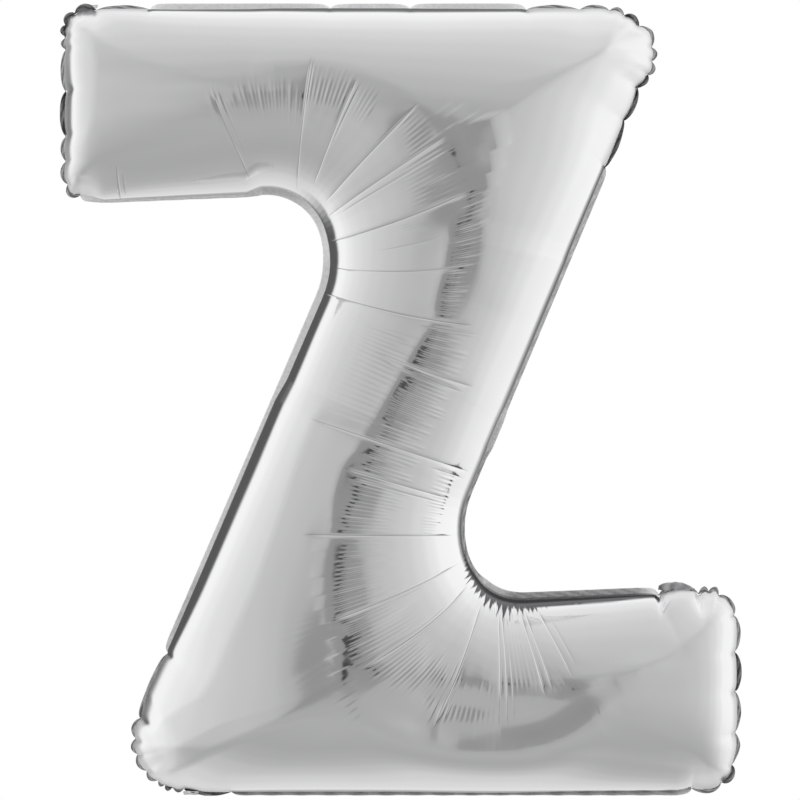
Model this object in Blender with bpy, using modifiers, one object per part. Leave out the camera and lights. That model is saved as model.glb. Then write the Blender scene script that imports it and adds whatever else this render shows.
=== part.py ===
# Letter Z foil balloon, inflated
#
# Two sheets of metallised film, cut to the letter and heat-sealed all round, blown up
# until every stroke is nearly a round tube. The letter stands in the XZ plane, its front
# looks along -Y, and the origin is its centre, where the air carries it. Metres, +Z up.

import math

import bmesh
import bpy
import numpy as np
from mathutils import Vector, geometry

# Driving dimensions, measured along the weld line of the blown-up letter
HEIGHT = 0.8620             # from the bottom weld to the top weld
TOP_BAR = 0.1970            # height of the top bar where it meets the upper bend
BOTTOM_BAR = 0.2200         # height of the bottom bar
TOP_LEFT = -0.3710          # left end of the top bar
TOP_RIGHT = 0.2995          # where the top edge would meet the diagonal's right edge
BOTTOM_LEFT = -0.3220       # where the bottom edge would meet the diagonal's left edge
BOTTOM_RIGHT = 0.3680       # right end of the bottom bar
FLARE = 0.0110              # the left end's weld stands this much lower than its bar's
LOWER_SAG = 0.0115          # the bottom bar's upper edge dips this much towards the lower bend

# Each inside bend is tight beside its bar and wide beside the diagonal
UPPER_BEND_BAR = -0.0960    # where the bend's two halves leave the bar's straight edge
UPPER_BEND_SIDE = (-0.0740, 0.1440)
LOWER_BEND_BAR = 0.0830
LOWER_BEND_SIDE = (0.0615, -0.1345)
TIGHT_RADIUS = 0.0670
WIDE_RADIUS = 0.1050

TOP_RIGHT_RADIUS = 0.0505
BOTTOM_LEFT_RADIUS = 0.0540
LEFT_END_RADIUS = 0.0245    # the corners of the two bar ends
RIGHT_END_RADIUS = 0.0320
FLARE_RADIUS = 0.0240

MOST_BULGE = 0.1220         # the film's own length holds the wide bends near this height
BULGE_SHARPNESS = 6
MITRE_SOFTNESS = 0.0050     # the two outer corners have a ridge, rounded about this much
END_ROUND = 0.0500          # how fast the bars' ends close
END_SLOPE = 0.26            # the bars are this share flatter at their ends,
END_REACH = 0.3000          # and reach their full depth this far in
END_CURVE = 1.2
FOOT_PULL = 0.60            # the bottom edge pulls harder beside the bottom left corner,
FOOT_PULL_FROM = 0.0300     # from here to here
FOOT_PULL_TO = -0.1300
FILM = 0.0020               # wall of the envelope, a stand-in for thin film
GAP = 0.0003                # between pieces that touch

SEAL_WIDTH = 0.0062         # how far the weld margin stands out
SEAL_LAP = 0.0026           # how far it reaches in under the panels' rims
SEAL_THICKNESS = 0.0012

TAIL_WIDTH = 0.0350         # the filling valve's tail
TAIL_LENGTH = 0.0135
TAIL_AT = 0.3030            # along the upper side of the bottom bar
TAIL_THICKNESS = 0.0008
TAIL_CORNER = 0.0030

TAB_WIDTH = 0.0170          # the tabs that the balloon hangs from
TAB_LENGTH = 0.0120
TAB_THICKNESS = 0.0008
TAB_CORNER = 0.0020
SLOT_WIDTH = 0.0080
SLOT_HEIGHT = 0.0030
LOWER_TAB_AT = -0.2310      # along the bottom edge
UPPER_TAB_AT = -0.3440      # along the top edge
TAB_LEAN = 60.0             # degrees from upright
TAB_ROOT = 0.0010           # how far outside the weld line the upper tab starts

# Mesh spacing
EDGE_STEP = 0.0230
RING_DEPTHS = (0.0004, 0.0050, 0.0150)
FIELD_STEP = 0.0290
ARC_STEP = math.radians(15)
RING_TRUTH = 0.95           # a ring point nearer the weld than this share of its depth is dropped
CROWDING = 0.0090           # deeper rings drop points closer together than this


def clear_scene():
    """Removes whatever the file holds."""
    for item in list(bpy.data.objects):
        bpy.data.objects.remove(item, do_unlink=True)


def letter_corners():
    """The letter's corners as (x, z, radius), clockwise from the top left."""
    top = HEIGHT / 2
    return [
        (TOP_LEFT, top, LEFT_END_RADIUS),
        (TOP_RIGHT, top, TOP_RIGHT_RADIUS),
        (*LOWER_BEND_SIDE, WIDE_RADIUS),
        (LOWER_BEND_BAR, BOTTOM_BAR - top - LOWER_SAG, TIGHT_RADIUS),
        (BOTTOM_RIGHT, BOTTOM_BAR - top, RIGHT_END_RADIUS),
        (BOTTOM_RIGHT, -top, RIGHT_END_RADIUS),
        (BOTTOM_LEFT, -top, BOTTOM_LEFT_RADIUS),
        (*UPPER_BEND_SIDE, WIDE_RADIUS),
        (UPPER_BEND_BAR, top - TOP_BAR, TIGHT_RADIUS),
        (TOP_LEFT, top - TOP_BAR - FLARE, FLARE_RADIUS),
    ]


def corner_arc(corners, index):
    """The round of one corner, as points from its first side to its second."""
    x, z, radius = corners[index]
    corner = Vector((x, z))
    before = (Vector(corners[index - 1][:2]) - corner).normalized()
    after = (Vector(corners[(index + 1) % len(corners)][:2]) - corner).normalized()
    half = before.angle(after) / 2
    centre = corner + (before + after).normalized() * (radius / math.sin(half))
    start = corner + before * (radius / math.tan(half)) - centre
    end = corner + after * (radius / math.tan(half)) - centre
    turn = start.angle_signed(end)
    steps = max(2, math.ceil(abs(turn) / ARC_STEP))
    arc = []
    for step in range(steps + 1):
        angle = -turn * step / steps
        c, s = math.cos(angle), math.sin(angle)
        arc.append(centre + Vector((c * start.x - s * start.y, s * start.x + c * start.y)))
    return np.array([tuple(point) for point in arc])


def rounded_path(corners):
    """A closed polygon with each corner turned into an arc of its radius."""
    return np.vstack([corner_arc(corners, index) for index in range(len(corners))])


def divided(path, step):
    """The same closed path with its long runs cut into pieces of about a step."""
    points = []
    for start, end in zip(path, np.roll(path, -1, axis=0)):
        pieces = max(1, round(np.linalg.norm(end - start) / step))
        points.extend(start + (end - start) * piece / pieces for piece in range(pieces))
    return np.array(points)


def outward_normals(path):
    """Unit normals of a clockwise closed path, pointing out of the letter."""
    tangent = np.roll(path, -1, axis=0) - np.roll(path, 1, axis=0)
    tangent /= np.linalg.norm(tangent, axis=1)[:, None]
    return np.stack([-tangent[:, 1], tangent[:, 0]], axis=1)


def distance_to(points, line):
    """How far each point lies from an open line."""
    start, edge = line[:-1], np.diff(line, axis=0)
    length = np.maximum((edge**2).sum(-1), 1e-12)
    offset = points[:, None, :] - start[None]
    share = np.clip((offset * edge).sum(-1) / length, 0, 1)
    return np.linalg.norm(offset - share[..., None] * edge, axis=-1).min(axis=1)


def distance_inside(points, path):
    """How deep each point lies inside the closed path, negative outside."""
    start, end = path, np.roll(path, -1, axis=0)
    above = (start[:, 1] > points[:, 1:]) != (end[:, 1] > points[:, 1:])
    rise = np.where(end[:, 1] == start[:, 1], 1, end[:, 1] - start[:, 1])
    cross = start[:, 0] + (points[:, 1:] - start[:, 1]) * (end[:, 0] - start[:, 0]) / rise
    inside = (above & (points[:, :1] < cross)).sum(axis=1) % 2 == 1
    depth = distance_to(points, np.vstack([path, path[:1]]))
    return np.where(inside, depth, -depth)


def ring_points(path):
    """Rings inside the weld line, closest together where the film rises most steeply."""
    normals = outward_normals(path)
    rings = []
    for depth in RING_DEPTHS:
        ring = path - depth * normals
        ring = ring[distance_inside(ring, path) > RING_TRUTH * depth]
        for point in ring:
            if depth < CROWDING or np.hypot(*(np.array(rings) - point).T).min() > CROWDING:
                rings.append(point)
    return np.array(rings)


def field_points(path):
    """An even triangular field over the middle of the strokes."""
    low, high = path.min(axis=0), path.max(axis=0)
    field = []
    for number, z in enumerate(np.arange(low[1], high[1], FIELD_STEP * math.sqrt(3) / 2)):
        shift = FIELD_STEP / 2 * (number % 2)
        field.extend((x, z) for x in np.arange(low[0] + shift, high[0], FIELD_STEP))
    field = np.array(field)
    return field[distance_inside(field, path) > RING_DEPTHS[-1] + FIELD_STEP / 2]


def triangulated(path):
    """The flat letter as points and triangles, its outline first."""
    points = np.vstack([path, ring_points(path), field_points(path)])
    found = geometry.delaunay_2d_cdt(
        [Vector(point) for point in points], [], [list(range(len(path)))], 1, 1e-7
    )
    return np.array([tuple(point) for point in found[0]]), np.array([list(face) for face in found[2]])


def nearer(first, second):
    """The smaller of two distances, rounded where they are alike."""
    rounded = 0.5 * (first + second - np.sqrt((first - second) ** 2 + MITRE_SOFTNESS**2))
    return np.maximum(rounded, 0.5 * np.minimum(first, second))


def inflated_heights(points):
    """How far the film bulges at each point.

    Across a round tube the height squared is the distance to one seam times the distance to
    the other. One seam runs up the left side from the bottom edge, the other down the right
    side from the top edge, and at an outer corner the nearer part of a seam counts."""
    arcs = [corner_arc(letter_corners(), index) for index in range(10)]
    half_top, half_bottom = len(arcs[1]) // 2, len(arcs[6]) // 2
    head = np.vstack([arcs[0], arcs[1][:half_top + 1]])
    foot = np.vstack([arcs[5], arcs[6][:half_bottom + 1]])
    right_side = np.vstack([arcs[1][half_top:], *arcs[2:5]])
    left_side = np.vstack([arcs[6][half_bottom:], *arcs[7:10]])
    left_end, right_end = np.array([arcs[9][-1], arcs[0][0]]), np.array([arcs[4][-1], arcs[5][0]])

    pulled = np.clip((FOOT_PULL_FROM - points[:, 0]) / (FOOT_PULL_FROM - FOOT_PULL_TO), 0, 1)
    to_foot = (1 + FOOT_PULL * pulled) * distance_to(points, foot)
    to_left = nearer(distance_to(points, left_side), to_foot)
    to_right = nearer(distance_to(points, right_side), distance_to(points, head))
    to_end = np.minimum(distance_to(points, left_end), distance_to(points, right_end))

    radius = 0.5 * (to_left + to_right)
    bulge = radius / (1 + (radius / MOST_BULGE) ** BULGE_SHARPNESS) ** (1 / BULGE_SHARPNESS)
    closing = np.sqrt(1 - np.exp(-to_end / END_ROUND))
    flattened = 1 - END_SLOPE * np.maximum(0, 1 - to_end / END_REACH) ** END_CURVE
    return bulge * closing * flattened * np.sqrt(to_left * to_right) / radius


def principled(name, colour, metallic, roughness):
    """A plain material in the sub-part's own colour."""
    material = bpy.data.materials.new(name)
    material.use_nodes = True
    shader = material.node_tree.nodes["Principled BSDF"]
    shader.inputs["Base Color"].default_value = (*colour, 1)
    shader.inputs["Metallic"].default_value = metallic
    shader.inputs["Roughness"].default_value = roughness
    return material


def film_panel(name, side, points, triangles, heights, material):
    """One blown-up sheet; side is -1 for the front and +1 for the back."""
    rest = SEAL_THICKNESS / 2 + GAP
    shape = bmesh.new()
    corners = [shape.verts.new((x, side * (rest + h), z)) for (x, z), h in zip(points, heights)]
    for triangle in triangles:
        shape.faces.new([corners[index] for index in triangle])
    shape.normal_update()
    if side * sum(face.normal.y * face.calc_area() for face in shape.faces) < 0:
        bmesh.ops.reverse_faces(shape, faces=shape.faces)
    mesh = bpy.data.meshes.new(name)
    shape.to_mesh(mesh)
    shape.free()
    mesh.shade_smooth()
    panel = bpy.data.objects.new(name, mesh)
    mesh.materials.append(material)
    wall = panel.modifiers.new("film", "SOLIDIFY")
    wall.thickness = FILM
    wall.offset = -1
    return panel


def flat_plate(name, loops, thickness, material):
    """A flat plate in the XZ plane with its middle at y = 0; loops after the first are holes."""
    curve = bpy.data.curves.new(name, "CURVE")
    curve.dimensions = "2D"
    curve.fill_mode = "BOTH"
    curve.extrude = thickness / 2
    for loop in loops:
        spline = curve.splines.new("POLY")
        spline.points.add(len(loop) - 1)
        for point, (x, z) in zip(spline.points, loop):
            point.co = (x, z, 0, 1)
        spline.use_cyclic_u = True
    curve.materials.append(material)
    plate = bpy.data.objects.new(name, curve)
    plate.rotation_euler = (math.radians(90), 0, 0)
    return plate


def round_rectangle(width, height, radius, centre=(0, 0)):
    """A rectangle with round corners, clockwise."""
    x, z = centre
    corners = [(x - width / 2, z + height / 2), (x + width / 2, z + height / 2),
               (x + width / 2, z - height / 2), (x - width / 2, z - height / 2)]
    return rounded_path([(*corner, radius) for corner in corners])


def sealed_edge(path, material):
    """The welded margin that runs all round the letter."""
    normals = outward_normals(path)
    outer, inner = path + SEAL_WIDTH * normals, path - SEAL_LAP * normals
    return flat_plate("sealed_edge", [outer, inner], SEAL_THICKNESS, material)


def valve_tail(material):
    """The tongue of the filling valve, which lies on the margin's front face."""
    outline = round_rectangle(TAIL_WIDTH, TAIL_LENGTH, TAIL_CORNER)
    tail = flat_plate("valve_tail", [outline], TAIL_THICKNESS, material)
    foot = BOTTOM_BAR - HEIGHT / 2 + 2 * GAP
    y = -(SEAL_THICKNESS / 2 + GAP + TAIL_THICKNESS / 2)
    tail.location = (TAIL_AT, y, foot + TAIL_LENGTH / 2)
    return tail


def hanging_tab(name, x, root_z, towards, material):
    """A slotted tab; root_z is its welded edge, towards is -1 for the front and +1 for the back."""
    lean = math.radians(TAB_LEAN)
    outline = round_rectangle(TAB_WIDTH, TAB_LENGTH, TAB_CORNER, (0, TAB_LENGTH / 2))
    slot = round_rectangle(SLOT_WIDTH, SLOT_HEIGHT, 0.49 * SLOT_HEIGHT, (0, TAB_LENGTH * 0.62))
    tab = flat_plate(name, [outline, slot], TAB_THICKNESS, material)
    clear = SEAL_THICKNESS / 2 + GAP + TAB_THICKNESS / 2 * math.cos(lean)
    tab.location = (x, towards * clear, root_z)
    tab.rotation_euler.x -= towards * lean
    return tab


def main():
    clear_scene()
    collection = bpy.data.collections.new("letter_foil_balloon")
    bpy.context.scene.collection.children.link(collection)

    foil = principled("silver_foil", (0.80, 0.80, 0.81), 1.0, 0.12)
    margin = principled("sealed_foil", (0.55, 0.55, 0.56), 1.0, 0.30)
    valve_film = principled("valve_film", (0.42, 0.42, 0.43), 0.6, 0.45)
    tab_film = principled("tab_film", (0.62, 0.62, 0.63), 0.8, 0.35)

    weld = divided(rounded_path(letter_corners()), EDGE_STEP)
    points, triangles = triangulated(weld)
    heights = inflated_heights(points)
    heights[len(weld):] = np.maximum(heights[len(weld):], 2 * FILM)

    pieces = [
        film_panel("front_panel", -1, points, triangles, heights, foil),
        film_panel("back_panel", 1, points, triangles, heights, foil),
        sealed_edge(weld, margin),
        valve_tail(valve_film),
        hanging_tab("lower_hanging_tab", LOWER_TAB_AT, -HEIGHT / 2 - SEAL_WIDTH, -1, tab_film),
        hanging_tab("upper_hanging_tab", UPPER_TAB_AT, HEIGHT / 2 + TAB_ROOT, 1, tab_film),
    ]
    for piece in pieces:
        collection.objects.link(piece)


main()
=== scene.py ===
# %% [markdown]
# A letter balloon of silver foil. Two sheets of thin metallised film are cut to the
# same outline, welded together round the edge and blown up. The film cannot stretch,
# so its rim gathers into scallops and its inner bends into fans of pleats. This lesson
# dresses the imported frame: it sets up a soft studio, then makes the two sheets, the
# welded margin, the filling tail and the two hanging tabs.

# %% Load the frame
import math
import bpy
import numpy as np
from mathutils import Matrix


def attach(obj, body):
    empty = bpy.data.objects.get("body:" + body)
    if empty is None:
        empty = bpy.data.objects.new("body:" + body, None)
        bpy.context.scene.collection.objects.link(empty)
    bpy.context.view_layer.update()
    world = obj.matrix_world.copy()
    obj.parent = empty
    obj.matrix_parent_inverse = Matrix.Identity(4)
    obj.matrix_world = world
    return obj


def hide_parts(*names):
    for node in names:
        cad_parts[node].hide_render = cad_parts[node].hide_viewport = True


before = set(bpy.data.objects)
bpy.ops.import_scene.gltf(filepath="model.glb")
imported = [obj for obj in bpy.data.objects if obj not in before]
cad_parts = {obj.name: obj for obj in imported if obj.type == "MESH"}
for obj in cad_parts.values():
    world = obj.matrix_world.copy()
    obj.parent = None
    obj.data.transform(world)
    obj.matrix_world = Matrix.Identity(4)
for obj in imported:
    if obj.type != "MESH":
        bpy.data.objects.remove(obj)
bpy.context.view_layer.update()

print("packed nodes:", ", ".join(sorted(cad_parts)))

# %% [markdown]
# All measures are metres in the frame's own axes: X to the right, Z up, and the front
# of the letter looks along minus Y. Places that were read from the photograph are kept
# as columns and rows of its 800 by 800 frame, and one function turns them into metres.

# %% Measures and places
MM = 0.001
LETTER_TALL, LETTER_PIXELS, PHOTO_PIXELS = 0.880, 796, 800
PHOTO_SCALE = LETTER_TALL / LETTER_PIXELS
PHOTO_CENTRE = (400.5, 399.0)


def photo_line(places):
    """Places in the photograph as an array of X and Z in metres."""
    return np.array([((column - PHOTO_CENTRE[0]) * PHOTO_SCALE, (PHOTO_CENTRE[1] - row) * PHOTO_SCALE)
                     for column, row in places])


def deselect():
    """Leaves nothing selected, so that the next operator acts only on its own piece."""
    if bpy.context.object and bpy.context.object.mode != "OBJECT":
        bpy.ops.object.mode_set(mode="OBJECT")
    bpy.ops.object.select_all(action="DESELECT")


print("a pixel of the photograph is", round(PHOTO_SCALE / MM, 3), "mm")

# %% [markdown]
# The photograph looks straight at the letter from far away, so a long lens stands far
# off. The lens length follows from the distance and from the width that the frame shows.

# %% Camera
CAMERA_DISTANCE = 3.4
FRAME_WIDTH = PHOTO_PIXELS * PHOTO_SCALE
SENSOR = 36.0

deselect()
centre_x, centre_z = photo_line([(PHOTO_PIXELS / 2, PHOTO_PIXELS / 2)])[0]
bpy.ops.object.camera_add(location=(centre_x, -CAMERA_DISTANCE, centre_z), rotation=(math.pi / 2, 0, 0))
camera = bpy.context.object
camera.name = "camera"
camera.data.sensor_width = SENSOR
camera.data.lens = SENSOR * CAMERA_DISTANCE / FRAME_WIDTH
camera.data.clip_end = 50
bpy.context.scene.camera = camera
bpy.context.scene.view_settings.view_transform = "Standard"
print("lens", round(camera.data.lens, 1), "mm")

# %% [markdown]
# Foil is a mirror, so what it shows is the studio. The world is painted by direction:
# dim straight ahead, where the camera stands, pale to both sides, paler above, grey
# below, and dark right behind the letter, which the steep rims pick up as a dark line.
# Each side has its own ramp of greys over the angle from the viewing axis.

# %% Studio tones
# Each stop: the angle in degrees and the grey.
TONES = {
    "left": ((0, .04), (3, .06), (5, .29), (13, .30), (19, .46), (28, .53), (40, .575), (60, .64),
            (74, .71), (88, .78), (100, .87), (112, .97), (121, .98), (129, .10), (156, .10), (168, .42),
            (180, .55)),
    "right": ((0, .04), (3, .06), (5, .29), (13, .30), (19, .44), (28, .51), (40, .56), (56, .63),
            (70, .72), (84, .84), (98, .96), (136, 1.0), (145, .40), (153, .14), (160, .16), (169, .42),
            (180, .55)),
    "above": ((0, .04), (3, .06), (5, .29), (16, .31), (26, .42), (40, .50), (56, .57), (72, .64),
            (88, .71), (104, .82), (122, .94), (134, 1.0), (143, .20), (158, .14), (169, .42), (180, .55)),
    "below": ((0, .04), (3, .06), (5, .29), (16, .31), (26, .42), (40, .44), (68, .415), (80, .44),
            (89, .48), (98, .55), (113, .67), (128, .74), (144, .80), (153, .44), (166, .34), (180, .55)),
}


def feed(tree, value, socket):
    """Gives a socket its value: another socket's, or a plain number or colour."""
    if isinstance(value, bpy.types.NodeSocket):
        tree.links.new(value, socket)
    else:
        socket.default_value = value


def tone_ramp(tree, angle, stops, name):
    """A grey that follows the angle from the viewing axis."""
    ramp = tree.nodes.new("ShaderNodeValToRGB")
    ramp.name = ramp.label = name
    ramp.color_ramp.interpolation = "EASE"
    elements = ramp.color_ramp.elements
    while len(elements) < len(stops):
        elements.new(1.0)
    for element, (degrees, grey) in zip(elements, stops):
        element.position = degrees / 180
        element.color = (grey, grey, grey * 1.005, 1)
    feed(tree, angle, ramp.inputs["Fac"])
    return ramp.outputs["Color"]


def worked_out(tree, operation, *values):
    """One Math node; each value is a socket or a number."""
    node = tree.nodes.new("ShaderNodeMath")
    node.operation = operation
    for value, socket in zip(values, node.inputs):
        feed(tree, value, socket)
    return node.outputs[0]


def blended(tree, factor, first, second):
    """A Mix node between two colours, each a socket or a colour."""
    mix = tree.nodes.new("ShaderNodeMix")
    mix.data_type = "RGBA"
    for label, value in (("Factor", factor), ("A", first), ("B", second)):
        feed(tree, value, mix.inputs[label])
    return mix.outputs["Result"]


print("tones:", ", ".join(f"{name} {len(stops)}" for name, stops in TONES.items()))

# %% [markdown]
# The world works out the direction of each ray as an angle from the viewing axis and as
# a lean to the right or up, and blends the four ramps by it. Only what the foil reflects
# is painted so: the camera itself sees plain white.

# %% Studio world
SIDE_BLEND, ABOVE_BLEND, BELOW_BLEND = (-0.35, 0.35), (0.42, 0.90), (0.1, 0.9)
NEVER_ZERO = 1e-6

world = bpy.data.worlds.new("soft_studio")
bpy.context.scene.world = world
world.use_nodes = True
studio = world.node_tree
studio.nodes.clear()


def smooth_between(value, low, high):
    """0 below low, 1 above high, and smooth between."""
    node = studio.nodes.new("ShaderNodeMapRange")
    node.interpolation_type = "SMOOTHSTEP"
    for label, number in (("From Min", low), ("From Max", high), ("Value", value)):
        feed(studio, number, node.inputs[label])
    return node.outputs["Result"]


coordinate = studio.nodes.new("ShaderNodeTexCoord")
split = studio.nodes.new("ShaderNodeSeparateXYZ")
feed(studio, coordinate.outputs["Generated"], split.inputs[0])
right, back, up = split.outputs
from_front = worked_out(studio, "ARCCOSINE", worked_out(studio, "MULTIPLY", back, -1.0))
angle = worked_out(studio, "DIVIDE", from_front, math.pi)
flat_square = worked_out(studio, "ADD", worked_out(studio, "MULTIPLY", right, right),
                         worked_out(studio, "MULTIPLY_ADD", up, up, NEVER_ZERO))
flat_length = worked_out(studio, "SQRT", flat_square)
sideways = worked_out(studio, "DIVIDE", right, flat_length)
lift = worked_out(studio, "DIVIDE", up, flat_length)
down = worked_out(studio, "MULTIPLY", lift, -1.0)
tones = {name: tone_ramp(studio, angle, stops, name) for name, stops in TONES.items()}
light = blended(studio, smooth_between(sideways, *SIDE_BLEND), tones["left"], tones["right"])
light = blended(studio, smooth_between(lift, *ABOVE_BLEND), light, tones["above"])
light = blended(studio, smooth_between(down, *BELOW_BLEND), light, tones["below"])

reflected, seen = studio.nodes.new("ShaderNodeBackground"), studio.nodes.new("ShaderNodeBackground")
feed(studio, light, reflected.inputs["Color"])
feed(studio, (1, 1, 1, 1), seen.inputs["Color"])
path = studio.nodes.new("ShaderNodeLightPath")
choose = studio.nodes.new("ShaderNodeMixShader")
feed(studio, path.outputs["Is Camera Ray"], choose.inputs["Fac"])
feed(studio, reflected.outputs[0], choose.inputs[1])
feed(studio, seen.outputs[0], choose.inputs[2])
feed(studio, choose.outputs[0], studio.nodes.new("ShaderNodeOutputWorld").inputs["Surface"])
print("studio world of", len(studio.nodes), "nodes")

# %% [markdown]
# A pale floor lies far below, so that it never touches the letter, and it stays out of the
# mirror. Mirror film takes its look from the painted studio alone, while the welded margin,
# the tail and the tabs are hazy and need real light on them. One large soft sun from the
# front gives it, and it stays out of the mirror too, where it would only add a spot.

# %% Floor and fill light
FLOOR_LEVEL, FLOOR_RADIUS = -1.30, 5.0
FLOOR_GREY, FLOOR_ROUGHNESS = 0.86, 0.8
SUN_STRENGTH = 1.1
SUN_TILT, SUN_TURN, SUN_SPREAD = math.radians(62), math.radians(-18), math.radians(40)

deselect()
bpy.ops.mesh.primitive_circle_add(vertices=96, radius=FLOOR_RADIUS, fill_type="NGON",
                                  location=(0, 0, FLOOR_LEVEL))
floor = bpy.context.object
floor.name = "studio_floor"
floor_paint = bpy.data.materials.new("floor_paint")
floor_paint.use_nodes = True
floor_shader = floor_paint.node_tree.nodes["Principled BSDF"]
floor_shader.inputs["Base Color"].default_value = (FLOOR_GREY, FLOOR_GREY, FLOOR_GREY, 1)
floor_shader.inputs["Roughness"].default_value = FLOOR_ROUGHNESS
floor.data.materials.append(floor_paint)
floor.visible_glossy = False

deselect()
bpy.ops.object.light_add(type="SUN", rotation=(SUN_TILT, 0, SUN_TURN))
sun = bpy.context.object
sun.name = "soft_front_fill"
sun.data.energy = SUN_STRENGTH
sun.data.angle = SUN_SPREAD
sun.visible_glossy = False
print("floor at", FLOOR_LEVEL, "m, sun of strength", SUN_STRENGTH)

# %% [markdown]
# The weld line of the letter is a ring of ten corners, each rounded to its own radius.
# The tube between its two long seams is laid out in ribs, bowed lines from seam A over
# the crest to seam B. Seam A runs along the lower edge of the upper bar, down the left
# slope and along the foot, and seam B along the head, down the right slope and along the
# lower bar. The ribs fan out round each inner bend, as the pleats of the real film do.

# %% The weld line
HEIGHT, TOP_BAR, BOTTOM_BAR = 0.8620, 0.1970, 0.2200
HALF = HEIGHT / 2
# Each corner, clockwise from the top left: its X, its Z and its radius. Numbers 1 and 6 are
# the two outer corners, and 2, 3, 7 and 8 make the two inner bends.
CORNERS = [
    (-0.3710, HALF, 0.0245), (0.2995, HALF, 0.0505), (0.0615, -0.1345, 0.1050),
    (0.0830, BOTTOM_BAR - HALF - 0.0115, 0.0670), (0.3680, BOTTOM_BAR - HALF, 0.0320),
    (0.3680, -HALF, 0.0320), (-0.3220, -HALF, 0.0540), (-0.0740, 0.1440, 0.1050),
    (-0.0960, HALF - TOP_BAR, 0.0670), (-0.3710, HALF - TOP_BAR - 0.0110, 0.0240),
]
ARC_STEP = math.radians(5)
NO_LENGTH = 1e-9


def corner_arc(number):
    """The round of one corner, as points from the seam before it to the seam after."""
    before, here, after = (np.array(CORNERS[(number + step) % len(CORNERS)][:2]) for step in (-1, 0, 1))
    radius = CORNERS[number][2]
    back, onward = before - here, after - here
    back, onward = back / np.linalg.norm(back), onward / np.linalg.norm(onward)
    half_angle = math.acos(float(back @ onward)) / 2
    centre = here + (back + onward) / np.linalg.norm(back + onward) * radius / math.sin(half_angle)
    start = here + back * radius / math.tan(half_angle) - centre
    end = here + onward * radius / math.tan(half_angle) - centre
    turn = math.atan2(start[0] * end[1] - start[1] * end[0], float(start @ end))
    angles = np.linspace(0, turn, max(2, round(abs(turn) / ARC_STEP)) + 1)
    return np.stack([centre[0] + start[0] * np.cos(angles) - start[1] * np.sin(angles),
                     centre[1] + start[0] * np.sin(angles) + start[1] * np.cos(angles)], axis=1)


def lengths_along(line):
    """The running length at each point of a line."""
    return np.concatenate([[0], np.cumsum(np.linalg.norm(np.diff(line, axis=0), axis=1))])


def nearest_on(points, line):
    """For each point: its distance to a line, and how far along the line that is."""
    best, where = np.full(len(points), np.inf), np.zeros(len(points))
    for start, end, along in zip(line[:-1], line[1:], lengths_along(line)):
        length = np.linalg.norm(end - start)
        if length < NO_LENGTH:
            continue
        step = (end - start) / length
        reached = np.clip((points - start) @ step, 0, length)
        aside = points - start - reached[:, None] * step
        distance = np.hypot(aside[:, 0], aside[:, 1])
        closer = distance < best
        best[closer], where[closer] = distance[closer], along + reached[closer]
    return best, where


def distance_to(points, line):
    """For each point: its distance to a line."""
    return nearest_on(points, line)[0]


def point_at(line, along):
    """Points of a line at given running lengths."""
    lengths = lengths_along(line)
    return np.stack([np.interp(along, lengths, line[:, 0]), np.interp(along, lengths, line[:, 1])], axis=1)


arcs = [corner_arc(number) for number in range(len(CORNERS))]
seam_b = np.vstack(arcs[:5])
seam_a = np.vstack([arc[::-1] for arc in arcs[:4:-1]])
# The height is measured from four sides, which run straight out to the end corners, and from
# the two bar ends, which are rounded there. The two outer corners are split in the middle.
sharp = [np.array([corner[:2]]) for corner in CORNERS]
top_split, foot_split = len(arcs[1]) // 2, len(arcs[6]) // 2
head = np.vstack([sharp[0], arcs[1][:top_split + 1]])
right_side = np.vstack([arcs[1][top_split:], arcs[2], arcs[3], sharp[4]])
foot = np.vstack([sharp[5], arcs[6][:foot_split + 1]])
left_side = np.vstack([arcs[6][foot_split:], arcs[7], arcs[8], sharp[9]])
left_end, right_end = np.vstack([arcs[9], arcs[0]]), np.vstack([arcs[4], arcs[5]])
end_middles = 0.5 * (arcs[9][-1:] + arcs[0][:1]), 0.5 * (arcs[4][-1:] + arcs[5][:1])
print("seam lengths", round(lengths_along(seam_a)[-1], 3), round(lengths_along(seam_b)[-1], 3), "m")

# %% [markdown]
# A few ribs are listed, closer together where the letter bends. A smooth curve
# through their middle places is the crest of the tube. The ribs in between are read off
# and evened out, so that the columns of the mesh flow round each bend without a kink.

# %% Ribs
# Each rib: its end on seam A, its place on the crest, its end on seam B, and how far
# apart the columns of the mesh stand on the crest before it, in millimetres.
RIBS = [
    ((105, 195), (105, 112), (105, 10), 3.8), ((160, 195), (150, 103), (150, 10), 3.6),
    ((268, 192), (215, 84), (200, 10), 2.8), ((297, 197), (313, 72), (325, 10), 1.6),
    ((311, 204), (362, 80), (400, 10), 1.5), ((320, 213), (418, 113), (520, 10), 1.5),
    ((325, 221), (443, 146), (640, 22), 1.4), ((331, 243), (457, 203), (622, 105), 1.3),
    ((331, 268), (453, 272), (570, 232), 1.1), ((326, 294), (441, 324), (533, 322), 1.1),
    ((307, 325), (420, 381), (502, 408), 1.1), ((272, 406), (384, 442), (479, 475), 1.1),
    ((259, 437), (369, 473), (470, 505), 1.1), ((222, 530), (349, 531), (463, 535), 1.1),
    ((165, 665), (338, 612), (467, 556), 1.1), ((137, 760), (368, 657), (474, 572), 1.1),
    ((250, 789), (402, 680), (478, 580), 1.2), ((400, 789), (440, 704), (484, 586), 1.2),
    ((497, 789), (500, 708), (497, 594), 1.2), ((565, 789), (545, 700), (515, 598), 1.4),
    ((620, 789), (585, 690), (532, 600), 1.8), ((660, 789), (640, 680), (620, 598), 2.4),
    ((705, 789), (700, 674), (700, 596), 1.8),
]
LAST_STEP = 2.2
SAMPLES = 50
SMOOTHING = 14


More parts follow.
